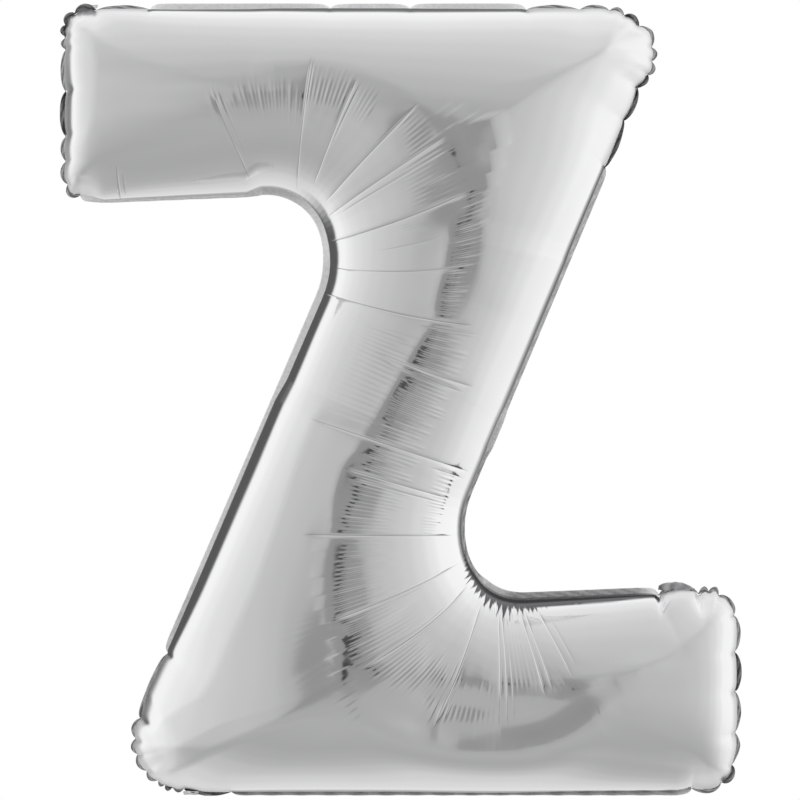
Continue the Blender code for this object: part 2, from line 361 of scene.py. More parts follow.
def smooth_line(points, parts=6):
    """A smooth curve through points: each stretch leans on its two neighbours."""
    known = np.vstack([2 * points[0] - points[1], points, 2 * points[-1] - points[-2]])
    share = np.linspace(0, 1, parts, endpoint=False)[:, None]
    runs = [0.5 * (2 * here + (there - before) * share
                   + (2 * before - 5 * here + 4 * there - after) * share ** 2
                   + (3 * here - before - 3 * there + after) * share ** 3)
            for before, here, there, after in zip(known[:-3], known[1:-2], known[2:-1], known[3:])]
    return np.vstack(runs + [known[-2:-1]])


def marks_on(line, places):
    """Running lengths on a line of places in the photograph."""
    return nearest_on(photo_line(places), line)[1]


def flowing(line, places):
    """Running lengths of the ribs on a line, read in between and evened out, with both ends kept."""
    values = np.concatenate([[0], marks_on(line, places), [lengths_along(line)[-1]]])
    ribs = len(values) - 1
    fine = np.interp(np.linspace(0, ribs, ribs * SAMPLES + 1), np.arange(ribs + 1), values)
    width = 3 * SMOOTHING
    padded = np.concatenate([2 * fine[0] - fine[width:0:-1], fine, 2 * fine[-1] - fine[-2:-width - 2:-1]])
    kernel = np.exp(-(np.arange(-width, width + 1) / SMOOTHING) ** 2)
    return np.convolve(padded, kernel / kernel.sum(), mode="valid")


crest = smooth_line(np.vstack([end_middles[0], photo_line([rib[1] for rib in RIBS]), end_middles[1]]))
flow_a, flow_c, flow_b = (flowing(line, [rib[number] for rib in RIBS])
                          for number, line in enumerate((seam_a, crest, seam_b)))
print("crest", round(lengths_along(crest)[-1], 3), "m long,", len(RIBS), "ribs")

# %% [markdown]
# Film that has to go round a bend has too much length on the inside, and folds it away:
# long sharp creases from the weld to the crest of the tube, and between them combs of
# fine pleats. Each is given by its place on the crest and by how much of its rib it
# takes, from 0 at seam A over 0.5 at the crest to 1 at seam B. The columns of the mesh
# stand closer together at each crease, so that it stays sharp.

# %% Creases and columns
# Each crease: its place on the crest, the stretch of its rib, and its depth in millimetres.
CREASES = [
    ((118, 110), 0.00, 0.17, 1.1), ((123, 109), 0.02, 0.13, 0.7), ((212, 85), 0.05, 0.40, 0.9),
    ((219, 84), 0.14, 0.34, 0.6), ((313, 72), 0.02, 0.52, 1.0), ((316, 71), 0.30, 0.52, 0.5),
    ((362, 80), 0.06, 0.45, 1.0), ((367, 82), 0.20, 0.44, 0.5), ((418, 113), 0.05, 0.48, 1.2),
    ((443, 146), 0.04, 0.49, 1.0), ((447, 157), 0.10, 0.40, 0.4), ((457, 203), 0.02, 0.53, 1.3),
    ((455, 238), 0.20, 0.42, 0.3), ((453, 272), 0.01, 0.52, 0.8), ((441, 324), 0.01, 0.62, 1.3),
    ((438, 331), 0.42, 0.66, 0.7), ((424, 372), 0.28, 0.74, 0.8), ((421, 378), 0.32, 0.70, 0.6),
    ((384, 442), 0.18, 0.94, 1.0), ((380, 449), 0.76, 0.93, 0.9), ((369, 473), 0.40, 0.90, 1.0),
    ((366, 480), 0.44, 0.86, 0.6), ((349, 531), 0.34, 0.95, 1.1), ((338, 612), 0.49, 0.96, 1.2),
    ((339, 616), 0.49, 0.80, 0.6), ((364, 653), 0.49, 0.80, 0.7), ((368, 657), 0.49, 0.93, 1.2),
    ((434, 701), 0.44, 0.72, 0.6), ((440, 704), 0.44, 0.94, 1.2), ((446, 705), 0.46, 0.70, 0.6),
    ((497, 708), 0.45, 0.93, 1.0), ((505, 708), 0.46, 0.96, 0.9), ((512, 707), 0.48, 0.80, 0.5),
    ((545, 700), 0.58, 0.95, 0.8), ((554, 698), 0.60, 0.95, 0.8), ((578, 692), 0.62, 0.95, 0.8),
    ((586, 690), 0.66, 0.90, 0.5),
]
CREASE_WIDTH, CREASE_FADE = 0.9 * MM, 0.05
CREASE_COLUMNS, CREASE_SPREAD = 5.0, 2 * CREASE_WIDTH
ROWS = 81

fine_ribs = np.arange(len(flow_c)) / SAMPLES
steps = np.array([rib[3] for rib in RIBS] + [LAST_STEP]) * MM
crest_speed = np.gradient(flow_c, fine_ribs)
crease_marks = marks_on(crest, [crease[0] for crease in CREASES])
density = crest_speed / np.interp(fine_ribs, np.arange(len(steps)) + 0.5, steps)
for mark in crease_marks:
    near = (flow_c - mark) / CREASE_SPREAD
    density += crest_speed * CREASE_COLUMNS / (CREASE_SPREAD * math.sqrt(math.pi)) * np.exp(-near ** 2)
running = np.concatenate([[0], np.cumsum(0.5 * (density[1:] + density[:-1]) / SAMPLES)])
COLUMNS = int(running[-1]) + 1
rib_number = np.interp(np.linspace(0, running[-1], COLUMNS), running, fine_ribs)
along_a, along_c, along_b = (np.interp(rib_number, fine_ribs, flow) for flow in (flow_a, flow_c, flow_b))
print(COLUMNS, "columns of", ROWS, "points,", 2 * (COLUMNS - 1) * (ROWS - 1), "triangles a sheet")

# %% [markdown]
# The rim of the flat film is longer than the rim of the blown-up letter, so at the bar
# ends and corners it gathers into scallops: the weld bows out between notches.

# %% Scallops
# Each notch, clockwise: its place on the rim, how far the weld is drawn in there, and how
# far the weld bows out on the way to the next notch, both in millimetres.
NOTCHES = [
    (81, 192, 1.2, 2.4), (65, 185, 1.0, 0.6), (64, 161, 1.0, 0.6), (61, 136, 1.2, 0.8), (67, 92, 1.6, 0.6),
    (63, 49, 1.2, 0.6), (61, 37, 1.2, 0.4), (63, 25, 1.4, 0.5), (75, 13, 1.2, 1.0), (96, 11, 1.4, 0),
    (150, 9, 0.6, 0), (330, 10, 0.4, 0), (410, 10, 0.4, 0), (526, 12, 1.0, 0.6), (580, 9, 0.6, 0.8),
    (610, 9, 1.2, 0.6), (625, 15, 1.4, 0.6), (637, 27, 1.4, 1.0), (650, 47, 1.6, 0.5), (656, 61, 1.4, 0.5),
    (653, 77, 1.6, 0.6), (640, 90, 1.4, 0.8), (625, 122, 0.8, 0), (603, 167, 0.4, 0), (659, 597, 3.4, 3.2),
    (699, 598, 3.6, 0.6), (709, 593, 1.0, 2.2), (720, 594, 1.2, 0.8), (732, 616, 1.6, 0.8),
    (735, 652, 1.8, 0.8), (733, 691, 2.0, 1.0), (737, 733, 1.6, 0.6), (738, 766, 1.2, 0.5),
    (724, 785, 1.2, 0.8), (691, 789, 1.6, 0), (232, 790, 0.5, 0), (184, 790, 0.8, 0.4),
    (172, 789, 0.8, 0.3), (165, 785, 0.8, 0.3), (159, 779, 1.2, 0.4), (147, 771, 1.2, 0.5),
    (136, 755, 1.2, 0.4), (131, 739, 1.6, 0.8), (138, 717, 1.8, 0.6), (167, 653, 1.4, 0),
]
LONG_SPAN, GATHER_EASE = 90 * MM, 0.25
NOTCH_REACH, BOW_POWER = 3.2 * MM, 0.8

outline = np.vstack(arcs + [arcs[0][:1]])
outline_length = lengths_along(outline)[-1]
marks = marks_on(outline, [notch[:2] for notch in NOTCHES])
order = np.argsort(marks)
marks = marks[order]
drawn_in, bowed_out = (np.array([notch[field] for notch in NOTCHES])[order] * MM for field in (2, 3))


def between_notches(along):
    """For running lengths of the outline: the notch before, the share of the way on, the span."""
    after = np.searchsorted(marks, along) % len(marks)
    before = (after - 1) % len(marks)
    span = (marks[after] - marks[before]) % outline_length
    share = np.clip((along - marks[before]) % outline_length / span, 0, 1)
    return before, share, span


def gathered(along):
    """1 where the rim is gathered into short petals, 0 where it runs straight."""
    return np.clip((LONG_SPAN - between_notches(along)[2]) / (GATHER_EASE * LONG_SPAN), 0, 1)


print(len(NOTCHES), "notches along", round(outline_length, 3), "m of rim")

# %% [markdown]
# Some stretches of the rim, most of them the straight ones, look different from the rest:
# the full film pushes the weld out, or the margin lies half turned away or carries painted
# shade. All round, the weld wanders a little to the front and to the back, as a pressed
# ribbon does.

# %% Runs of the rim
# Each stretch, clockwise: where it starts and ends, how far the film pushes the weld out
# there in millimetres, how open the margin lies, and how dark its painted shade is.
RUNS = [
    ((96, 11), (605, 9), 0, 1.0, 0.0), ((636, 22), (646, 88), 5.5, 1.0, 0.0),
    ((615, 130), (500, 420), 0.5, 0.72, 0.50), ((488, 445), (484, 586), 0.6, 0.58, 0.85),
    ((500, 594), (650, 597), 0.4, 1.0, 0.62), ((728, 606), (738, 760), 3.2, 1.0, 0.0),
    ((690, 789), (190, 790), 2.4, 0.66, 0.30), ((150, 690), (205, 570), 0, 1.0, 0.30),
    ((215, 550), (331, 268), 0, 1.0, 0.0), ((331, 262), (297, 197), 0, 0.9, 0.0),
    ((262, 190), (90, 196), 5.2, 0.36, 0.30),
]
RUN_PUSH, RUN_OPEN, RUN_SHADE = 2, 3, 4
RUN_FADE = 16 * MM
OUTWARD_STEP = 2 * MM
# How far the weld wanders, how much farther where it is gathered, the lengths of its two
# waves, and how much the long one shifts the short one.
FLUTTER, GATHERED_FLUTTER, FLUTTER_WAVE, FLUTTER_DRIFT = 0.4 * MM, 0.9 * MM, 21 * MM, 57 * MM
FLUTTER_SWAY = 0.8

run_marks = [marks_on(outline, run[:2]) for run in RUNS]


def run_value(along, field, plain):
    """What a field of the runs says at a running length, or the plain value between them."""
    total, weight = np.zeros(len(along)), np.zeros(len(along))
    for (start, stop), run in zip(run_marks, RUNS):
        share = np.clip(np.minimum(along - start, stop - along) / RUN_FADE, 0, 1)
        total, weight = total + share * run[field], weight + share
    return (total + plain * np.clip(1 - weight, 0, 1)) / np.maximum(weight, 1)


def scallop(along):
    """How far the weld bows out (or is drawn in, below zero) at a running length of the outline."""
    before, share, span = between_notches(along)
    edge = np.minimum(share, 1 - share) * span
    depth = np.where(share < 0.5, drawn_in[before], drawn_in[(before + 1) % len(marks)])
    bow = bowed_out[before] * np.sin(math.pi * share) ** BOW_POWER
    return bow + run_value(along, RUN_PUSH, 0) * MM - depth * np.exp(-edge / NOTCH_REACH)


def outward_at(along):
    """Unit vectors out of the outline, in its plane."""
    ahead = point_at(outline, (along + OUTWARD_STEP) % outline_length)
    ahead -= point_at(outline, (along - OUTWARD_STEP) % outline_length)
    ahead /= np.linalg.norm(ahead, axis=1, keepdims=True)
    return np.stack([-ahead[:, 1], ahead[:, 0]], axis=1)


def flutter(along):
    """How far the weld wanders to the front (below zero) or back: it curls where it is gathered."""
    wave = np.sin(along / FLUTTER_WAVE + FLUTTER_SWAY * np.sin(along / FLUTTER_DRIFT))
    return (FLUTTER + GATHERED_FLUTTER * gathered(along)) * wave


print(len(RUNS), "runs, of", ", ".join(str(round(stop - start, 2)) for start, stop in run_marks), "m")

# %% [markdown]
# The blown-up form. Across a tube the height above the weld plane follows a circle: its
# square is the distance to one seam times the distance to the other. At an outer corner
# the nearer of two seams counts, which gives the soft mitre ridge that runs in from the
# corner. A cap keeps the widest places from the full round, the bars lie lower towards
# their ends, and at the two outer corners the gathered rim holds the film down.

# %% Blown-up form
MITRE_SOFTNESS = 5 * MM
# Towards the lower left the foot counts as farther off, which turns the mitre ridge there.
FOOT_PULL, FOOT_FROM, FOOT_TO = 0.6, 0.030, -0.130
# How blunt the bar ends close, and how much lower the bars lie towards them.
END_ROUND, END_POWER = 18 * MM, 1.3
END_SLOPE, END_REACH, END_CURVE = 0.47, 260 * MM, 1.5
MOST_DEPTH, CAP_POWER = 122 * MM, 6
# The gathered rim of the two outer corners.
SLACK_RIMS = [
    [(162, 664), (148, 695), (138, 717), (131, 739), (136, 755), (147, 771), (165, 787), (200, 790)],
    [(596, 9), (612, 9), (625, 15), (637, 27), (650, 47), (656, 61), (652, 77), (640, 92), (626, 118)],
]
CORNER_SLACK, CORNER_REACH = 0.42, 46 * MM
RIM_REACH = 20 * MM


def nearer(first, second):
    """The smaller of two distances, rounded where they are alike."""
    rounded = 0.5 * (first + second - np.sqrt((first - second) ** 2 + MITRE_SOFTNESS ** 2))
    return np.maximum(rounded, 0.5 * np.minimum(first, second))


def inflated_height(points):
    """Height of the film above the weld plane."""
    pull = 1 + FOOT_PULL * np.clip((FOOT_FROM - points[:, 0]) / (FOOT_FROM - FOOT_TO), 0, 1)
    to_a = nearer(distance_to(points, left_side), pull * distance_to(points, foot))
    to_b = nearer(distance_to(points, right_side), distance_to(points, head))
    end = np.minimum(distance_to(points, left_end), distance_to(points, right_end))
    closing = 1 - np.exp(-(end / END_ROUND) ** END_POWER)
    slope = 1 - END_SLOPE * np.maximum(0, 1 - end / END_REACH) ** END_CURVE
    middle = 0.5 * (to_a + to_b)
    capped = (middle ** -CAP_POWER + MOST_DEPTH ** -CAP_POWER) ** (-1 / CAP_POWER)
    return slope * capped * np.sqrt(np.maximum(to_a, 0) * np.maximum(to_b, 0) * closing) / middle


# The points of a sheet, column by column: how far across its rib each lies, how far along
# the crest, and where in the weld plane.
rib_share = 0.5 - 0.5 * np.cos(np.linspace(0, math.pi, ROWS))
ends_a, middles, ends_b = point_at(seam_a, along_a), point_at(crest, along_c), point_at(seam_b, along_b)
bends = 2 * middles - 0.5 * (ends_a + ends_b)
share = rib_share[None, :, None]
plan = ((1 - share) ** 2 * ends_a[:, None] + 2 * share * (1 - share) * bends[:, None]
        + share ** 2 * ends_b[:, None]).reshape(-1, 2)
crest_along, rib_share = np.repeat(along_c, ROWS), np.tile(rib_share, COLUMNS)
rim_distance, rim_along = nearest_on(plan, outline)
rim_hold = np.exp(-(rim_distance / RIM_REACH) ** 2)

at_corner = np.minimum(*(distance_to(plan, photo_line(rim)) for rim in SLACK_RIMS))
height = inflated_height(plan) * (1 - CORNER_SLACK * np.exp(-at_corner / CORNER_REACH))
height = np.pad(height.reshape(COLUMNS, ROWS)[1:-1, 1:-1], 1).reshape(-1)
print("deepest point", round(float(height.max()), 4), "m")

# %% [markdown]
# Between the long creases the film stands in combs: rows of fine pleats side by side, as
# in a drawn curtain. Each tooth is one wave across the crest with its own height and its
# own two ends, drawn from a seeded random row, so that no comb looks ruled.

# %% Combs of fine pleats
# Each comb: where it starts and ends on the crest, the stretch of the ribs that it takes,
# how long its teeth fade at their two ends in millimetres, and its height and pitch in
# millimetres.
COMBS = [
    ((206, 87), (262, 72), 0.10, 0.50, 14, 10, 0.34, 4.6),
    ((262, 72), (310, 72), 0.08, 0.47, 12, 8, 0.20, 4.4),
    ((140, 104), (206, 87), 0.03, 0.20, 4, 12, 0.16, 4.2),
    ((315, 72), (360, 80), 0.30, 0.52, 10, 4, 0.36, 5.2),
    ((364, 81), (392, 93), 0.30, 0.47, 10, 6, 0.22, 5.4),
    ((418, 113), (442, 145), 0.38, 0.50, 8, 3, 0.34, 5.2),
    ((444, 148), (457, 200), 0.34, 0.51, 10, 3, 0.34, 5.0),
    ((457, 205), (453, 272), 0.49, 0.585, 2, 3, 0.80, 4.2),
    ((453, 274), (441, 322), 0.475, 0.565, 2, 4, 0.95, 4.6),
    ((441, 326), (424, 370), 0.45, 0.66, 2, 5, 0.75, 4.4),
    ((424, 373), (385, 440), 0.44, 0.68, 2, 5, 0.62, 4.2),
    ((424, 340), (390, 432), 0.12, 0.46, 12, 6, 0.30, 5.4),
    ((384, 444), (350, 528), 0.46, 0.72, 2, 5, 0.62, 4.2),
    ((384, 444), (350, 528), 0.80, 0.90, 3, 3, 0.50, 5.0),
    ((349, 534), (338, 610), 0.49, 0.72, 2, 6, 0.55, 4.6),
    ((338, 614), (366, 654), 0.50, 0.72, 2, 6, 0.60, 4.6),
    ((369, 658), (436, 702), 0.49, 0.70, 2, 6, 0.60, 5.0),
    ((441, 704), (500, 708), 0.46, 0.66, 2, 6, 0.70, 5.4),
    ((502, 708), (545, 700), 0.60, 0.94, 6, 2, 0.30, 6.0),
    ((452, 705), (560, 697), 0.93, 0.975, 1, 1, 0.60, 6.4),
]
# The usual length of a rib, and how much later, earlier and lower a tooth may be than its comb.
COMB_RIB = 220 * MM
TOOTH_LATE, TOOTH_EARLY, TOOTH_LEAST = 0.10, 0.35, 0.35


def comb_height(seed):
    """Fine pleats across the crest: each has its own height and its own two ends."""
    random = np.random.default_rng(seed)
    total = np.zeros(len(plan))
    for first, last, low, high, fade_low, fade_high, tall, pitch in COMBS:
        start, stop = marks_on(crest, [first, last])
        count = int((stop - start) / (pitch * MM))
        phase = (crest_along - start) / (stop - start) * count
        number = np.clip(np.floor(phase).astype(int), 0, count - 1)
        inside = (phase >= 0) & (phase < count)
        lows = low + random.uniform(0, TOOTH_LATE, count) * (high - low)
        highs = high - random.uniform(0, TOOTH_EARLY, count) * (high - low)
        tops = tall * MM * random.uniform(TOOTH_LEAST, 1.0, count)
        reach_low = np.clip((rib_share - lows[number]) * COMB_RIB / (fade_low * MM), 0, 1)
        reach_high = np.clip((highs[number] - rib_share) * COMB_RIB / (fade_high * MM), 0, 1)
        wave = (1 - np.cos(2 * math.pi * (phase - number))) / 2
        total += inside * reach_low * reach_high * tops[number] * wave
    return total


print(len(COMBS), "combs")

# %% [markdown]
# A long crease is a sharp fold that presses the film in, and the film beside it sinks with
# it in a soft pillow. The two sheets crease in the same places but never quite alike, so
# the creases of the back sheet wander a little.

# %% Long creases
PILLOW_WIDTH, PILLOW_SHARE = 9 * MM, 0.55


def crease_depth(seed, wander):
    """How deep the creases press the film in: a sharp fold with a soft pillow on each side."""
    random = np.random.default_rng(seed)
    sharpness, pillow = np.zeros(len(plan)), np.zeros(len(plan))
    for mark, (place, low, high, depth) in zip(crease_marks, CREASES):
        near = np.abs(crest_along - mark - wander * random.normal())
        fade = np.clip(np.minimum(rib_share - low, high - rib_share) / CREASE_FADE, 0, 1)
        sharpness = np.maximum(sharpness, depth * fade * np.exp(-near / CREASE_WIDTH))
        pillow = np.maximum(pillow, PILLOW_SHARE * depth * fade * np.exp(-near / PILLOW_WIDTH))
    return (sharpness + pillow) * MM


print(len(CREASES), "creases")

# %% [markdown]
# The smooth film is not evenly round. It is pulled straight between its folds, so it has
# flat facets with soft edges. Each facet is a patch whose rim keeps its height while the
# inside becomes the smoothest sheet through that rim, as a thin plate would lie.

# %% Facets
# Each facet: its outline in the photograph and how far the film is pulled flat, from 0 to 1.
FACETS = [
    ([(449, 226), (464, 217), (484, 232), (480, 270), (473, 298), (458, 320), (435, 316), (438, 290),
      (445, 255)], 0.84),
    ([(434, 322), (460, 328), (456, 350), (446, 372), (432, 400), (412, 440), (385, 440), (352, 442),
      (366, 425), (388, 394), (410, 356)], 0.82),
    ([(384, 446), (409, 450), (392, 478), (380, 500), (371, 530), (340, 530), (334, 505), (338, 480),
      (350, 455)], 0.82),
    ([(322, 536), (370, 536), (369, 560), (372, 590), (366, 612), (336, 618), (322, 590),
      (320, 560)], 0.78),
    ([(336, 624), (366, 652), (400, 676), (434, 698), (434, 736), (392, 730), (356, 714),
      (342, 664)], 0.88),
    ([(438, 702), (500, 708), (548, 698), (600, 672), (618, 682), (606, 694), (565, 727), (535, 739),
      (484, 742), (440, 738)], 0.90),
    ([(442, 118), (470, 128), (500, 126), (498, 160), (487, 196), (474, 222), (458, 200),
      (452, 160)], 0.82),
]
EDGE_SAMPLES = 7
TINY, PLATE_EASE = 1e-12, 1e-9


def plate_kernel(first, second):
    """The thin plate's own bending shape between two sets of points."""
    gap = np.sum((first[:, None] - second[None]) ** 2, axis=2)
    return 0.5 * gap * np.log(gap + TINY)


def inside_of(points, ring):
    """True for the points that lie inside a closed ring."""
    x0, z0, x1, z1 = *ring.T, *np.roll(ring, -1, axis=0).T
    x, z = points[:, :1], points[:, 1:]
    crossing = ((z0 > z) != (z1 > z)) & (x < x0 + (z - z0) * (x1 - x0) / (z1 - z0 + TINY))
    return np.sum(crossing, axis=1) % 2 == 1


def facet_depth():
    """How far the film moves where it is pulled flat between its folds."""
    change = np.zeros(len(plan))
    for places, pulled in FACETS:
        corners = photo_line(places)
        ring = smooth_line(np.vstack([corners[-1:], corners, corners[:1]]), EDGE_SAMPLES)[EDGE_SAMPLES:-1]
        within = inside_of(plan, ring)
        knots = ring[::2]
        plate = np.block([[plate_kernel(knots, knots), np.ones((len(knots), 1)), knots],
                          [np.ones((1, len(knots))), np.zeros((1, 3))], [knots.T, np.zeros((2, 3))]])
        level = np.concatenate([inflated_height(knots), np.zeros(3)])
        weights = np.linalg.solve(plate + PLATE_EASE * np.eye(len(plate)), level)
        flat = plate_kernel(plan[within], knots) @ weights[:-3] + weights[-3] + plan[within] @ weights[-2:]
        change[within] = pulled * (flat - height[within])
    return change


print(len(FACETS), "facets")

# %% [markdown]
# Where two facets meet, the film has a soft edge: a long low fold, often steeper on one
# side. It is a height or a depth that falls off on both sides of a line. Along the dark
# line of the pleats the film looks straight at the reader and so mirrors the dim front of
# the studio: there it is tipped about the line by just the slope that it has.

# %% Folds
# Each facing line: its places, and how far from it the film is tipped, in millimetres.
FACING = [
    ([(462, 165), (463, 200), (463, 240), (452, 270), (441, 300), (434, 330), (426, 352), (413, 372),
      (399, 400), (387, 426), (373, 450), (358, 475), (347, 500), (340, 530), (337, 560), (336, 590),
      (339, 612), (350, 634), (366, 655)], 50),
    ([(345, 672), (368, 700), (396, 716), (424, 724), (460, 730), (500, 733), (536, 728), (572, 711),
      (604, 688)], 36),
    ([(352, 638), (366, 655), (398, 678), (431, 697), (460, 705), (500, 709)], 15),
]
FACING_PATCH, FACING_STATIONS, FACING_EVEN = 4 * MM, 60, 3
# Each fold: its line, its height (below zero where it is a dent), and how far it runs out on
# its left and on its right, in millimetres.
FOLDS = [
    ([(250, 74), (309, 72), (356, 79), (400, 99), (432, 127), (442, 145), (457, 203)], 2.2, 60, 20),
    ([(455, 215), (449, 240), (444, 270), (436, 300), (432, 325), (416, 350), (396, 383), (378, 415),
      (358, 445), (342, 480), (335, 520), (331, 560), (334, 611)], 2.0, 160, 14),
    ([(150, 733), (187, 705), (214, 683), (243, 622), (262, 580), (288, 505), (306, 450),
      (330, 395)], 7.0, 55, 42),
    ([(659, 592), (662, 604), (668, 620), (677, 641)], -2.0, 5, 8),
    ([(699, 592), (700, 604), (701, 620)], -2.4, 5, 5),
    ([(677, 641), (664, 652), (640, 663), (606, 673)], 1.4, 12, 8),
    ([(500, 125), (498, 160), (486, 230)], 1.0, 16, 16),
    ([(334, 621), (341, 658), (351, 705), (388, 717), (433, 723)], 1.0, 12, 12),
    ([(453, 674), (494, 672), (545, 676), (620, 662), (660, 650)], 1.2, 12, 12),
    ([(166, 773), (192, 757), (238, 736), (299, 711), (339, 707)], 1.2, 14, 14),
    ([(430, 730), (560, 745), (700, 768)], -1.2, 14, 14),
    ([(90, 165), (160, 152), (230, 138)], -0.9, 12, 12),
    ([(91, 19), (100, 60), (100, 110), (91, 140), (81, 153)], 1.2, 10, 10),
]
FOLD_END, FOLD_LEAST = 30 * MM, 0.1


def beside_line(line):
    """Signed distance from a line, above zero on its left going along it, and the place along it."""
    distance, reached = nearest_on(plan, line)
    ahead = point_at(line, reached + MM) - point_at(line, reached - MM)
    away = plan - point_at(line, reached)
    return distance * np.where(ahead[:, 0] * away[:, 1] - ahead[:, 1] * away[:, 0] < 0, -1, 1), reached


def fading_ends(line, reached, least):
    """1 along a line, falling to the least value at its two ends."""
    return np.clip(np.minimum(reached, lengths_along(line)[-1] - reached) / FOLD_END, least, 1)


def fold_height():
    """The soft edges in the smooth film."""
    total = np.zeros(len(plan))
    for places, tall, left, right in FOLDS:
        line = smooth_line(photo_line(places))
        aside, reached = beside_line(line)
        falling = np.exp(-np.abs(aside) / (np.where(aside > 0, left, right) * MM))
        total += tall * MM * fading_ends(line, reached, FOLD_LEAST) * falling
    return total


def slope_across(form, spots, left):
    """The slope of a form at spots, towards the left: a plane is laid through the film round each."""
    slopes = []
    for spot, way in zip(spots, left):
        away = plan - spot
        near = np.hypot(*away.T) < 3 * FACING_PATCH
        weight = np.exp(-(away[near] ** 2).sum(axis=1) / (2 * FACING_PATCH ** 2))
        sides = np.column_stack([away[near], np.ones(near.sum())]) * weight[:, None]
        slopes.append(np.linalg.lstsq(sides, form[near] * weight, rcond=None)[0][:2] @ way)
    window = 2 * FACING_EVEN + 1
    return np.convolve(np.pad(slopes, FACING_EVEN, mode="edge"), np.ones(window), mode="valid") / window


def facing_tilt(form, places, reach):
    """Tips the film about a line, until it looks straight at the reader there."""
    line = smooth_line(photo_line(places))
    aside, reached = beside_line(line)
    stations = np.linspace(2 * MM, lengths_along(line)[-1] - 2 * MM, FACING_STATIONS)
    ahead = point_at(line, stations + MM) - point_at(line, stations - MM)
    left = np.stack([-ahead[:, 1], ahead[:, 0]], axis=1) / np.linalg.norm(ahead, axis=1, keepdims=True)
    slope = np.interp(reached, stations, slope_across(form, point_at(line, stations), left))
    return -slope * aside * fading_ends(line, reached, 0) * np.exp(-(aside / (reach * MM)) ** 2)


print(len(FOLDS), "folds and", len(FACING), "facing lines")

# %% [markdown]
# From each notch of the rim a short crease runs in, the deeper the notch the longer. With
# them the smooth relief is whole: facets, folds and puckers. Combs and long creases come
# on top of it, sheet by sheet.

# %% Puckers and the whole relief
PUCKER_DEPTH, PUCKER_WIDTH, PUCKER_FLARE = 0.9, 2.2 * MM, 0.16
PUCKER_LONG, PUCKER_LEAST, PUCKER_POWER = 6.5, 2.7 * MM, 1.3


def pucker_depth():
    """Short creases that run in from each notch of the rim."""
    total = np.zeros(len(plan))
    for mark, drawn in zip(marks, drawn_in):
        aside = np.abs((rim_along - mark + outline_length / 2) % outline_length - outline_length / 2)
        fade = np.clip(1 - rim_distance / (PUCKER_LONG * drawn + PUCKER_LEAST), 0, 1) ** PUCKER_POWER
        width = PUCKER_WIDTH + PUCKER_FLARE * rim_distance
        total = np.maximum(total, PUCKER_DEPTH * drawn * fade * np.exp(-aside / width))
    return total


smooth_relief = facet_depth() + fold_height()
for places, reach in FACING:
    smooth_relief += facing_tilt(height + smooth_relief, places, reach)
smooth_relief -= pucker_depth()
print("relief from", round(smooth_relief.min() / MM, 2), "to", round(smooth_relief.max() / MM, 2), "mm")

# %% [markdown]
# Four finishes share three effects, so each effect is a node group. Stretched film is not
# quite even: slow waves tip the mirror. Handling leaves a faint haze here and there. The
# welding bar leaves a fine knurl and a mottled grey. The groups give heights and numbers,
# and each material keeps its own Principled shader.

# %% Effects
def effect_group(name, inputs, outputs):
    """A new node group that reads a place and some numbers; gives back its parts."""
    group = bpy.data.node_groups.new(name, "ShaderNodeTree")
    group.interface.new_socket("Vector", in_out="INPUT", socket_type="NodeSocketVector")
    for way, labels in (("INPUT", inputs), ("OUTPUT", outputs)):
        for label in labels:
            group.interface.new_socket(label, in_out=way, socket_type="NodeSocketFloat")
    return group, group.nodes.new("NodeGroupInput").outputs, group.nodes.new("NodeGroupOutput").inputs


def noise_in(group, given, scale, detail):
    """A Noise node inside a group, at the group's place and at a named scale; gives back its value."""
    noise = group.nodes.new("ShaderNodeTexNoise")
    noise.inputs["Detail"].default_value = detail
    feed(group, given["Vector"], noise.inputs["Vector"])
    feed(group, given[scale], noise.inputs["Scale"])
    return noise.outputs["Fac"]


slow_waves, given, result = effect_group("slow_waves", ("Waves", "Crinkle", "Crinkle Share"), ("Height",))
wide, fine = noise_in(slow_waves, given, "Waves", 1.0), noise_in(slow_waves, given, "Crinkle", 3.0)
feed(slow_waves, worked_out(slow_waves, "MULTIPLY_ADD", fine, given["Crinkle Share"], wide), result["Height"])

haze, given, result = effect_group("handling_haze", ("Scale", "Clear", "Hazy"), ("Roughness",))
patch = noise_in(haze, given, "Scale", 4.0)
span_of_haze = worked_out(haze, "SUBTRACT", given["Hazy"], given["Clear"])
feed(haze, worked_out(haze, "MULTIPLY_ADD", patch, span_of_haze, given["Clear"]), result["Roughness"])

knurl, given, result = effect_group("seal_knurl", ("Pitch", "Mottle"), ("Height", "Shade"))
cells = knurl.nodes.new("ShaderNodeTexVoronoi")
cells.feature = "SMOOTH_F1"
feed(knurl, given["Vector"], cells.inputs["Vector"])
feed(knurl, given["Pitch"], cells.inputs["Scale"])
feed(knurl, cells.outputs["Distance"], result["Height"])
feed(knurl, noise_in(knurl, given, "Mottle", 3.0), result["Shade"])
print("effects:", ", ".join(group.name for group in (slow_waves, haze, knurl)))

# %% [markdown]
# Each finish starts from a Principled shader and takes its effects from the groups. The
# mesh itself holds a number on each vertex that darkens the finish, mostly painted shade
# where the film is tightly gathered or folded, as folds too fine to model there trap the
# light. Another number says where they blur the mirror.

# %% Parts of a finish
def new_finish(name, metallic):
    """A material: itself, its nodes and the inputs of its Principled shader."""
    material = bpy.data.materials.new(name)
    material.use_nodes = True
    shader = material.node_tree.nodes["Principled BSDF"].inputs
    shader["Metallic"].default_value = metallic
    return material, material.node_tree, shader


def placed_effect(tree, group, **values):
    """Puts an effect in a material, on the piece's own coordinates; gives back its outputs."""
    node = tree.nodes.new("ShaderNodeGroup")
    node.node_tree = group
    coordinate = tree.nodes.get("Texture Coordinate") or tree.nodes.new("ShaderNodeTexCoord")
    feed(tree, coordinate.outputs["Object"], node.inputs["Vector"])
    for label, value in values.items():
        feed(tree, value, node.inputs[label.replace("_", " ")])
    return node.outputs


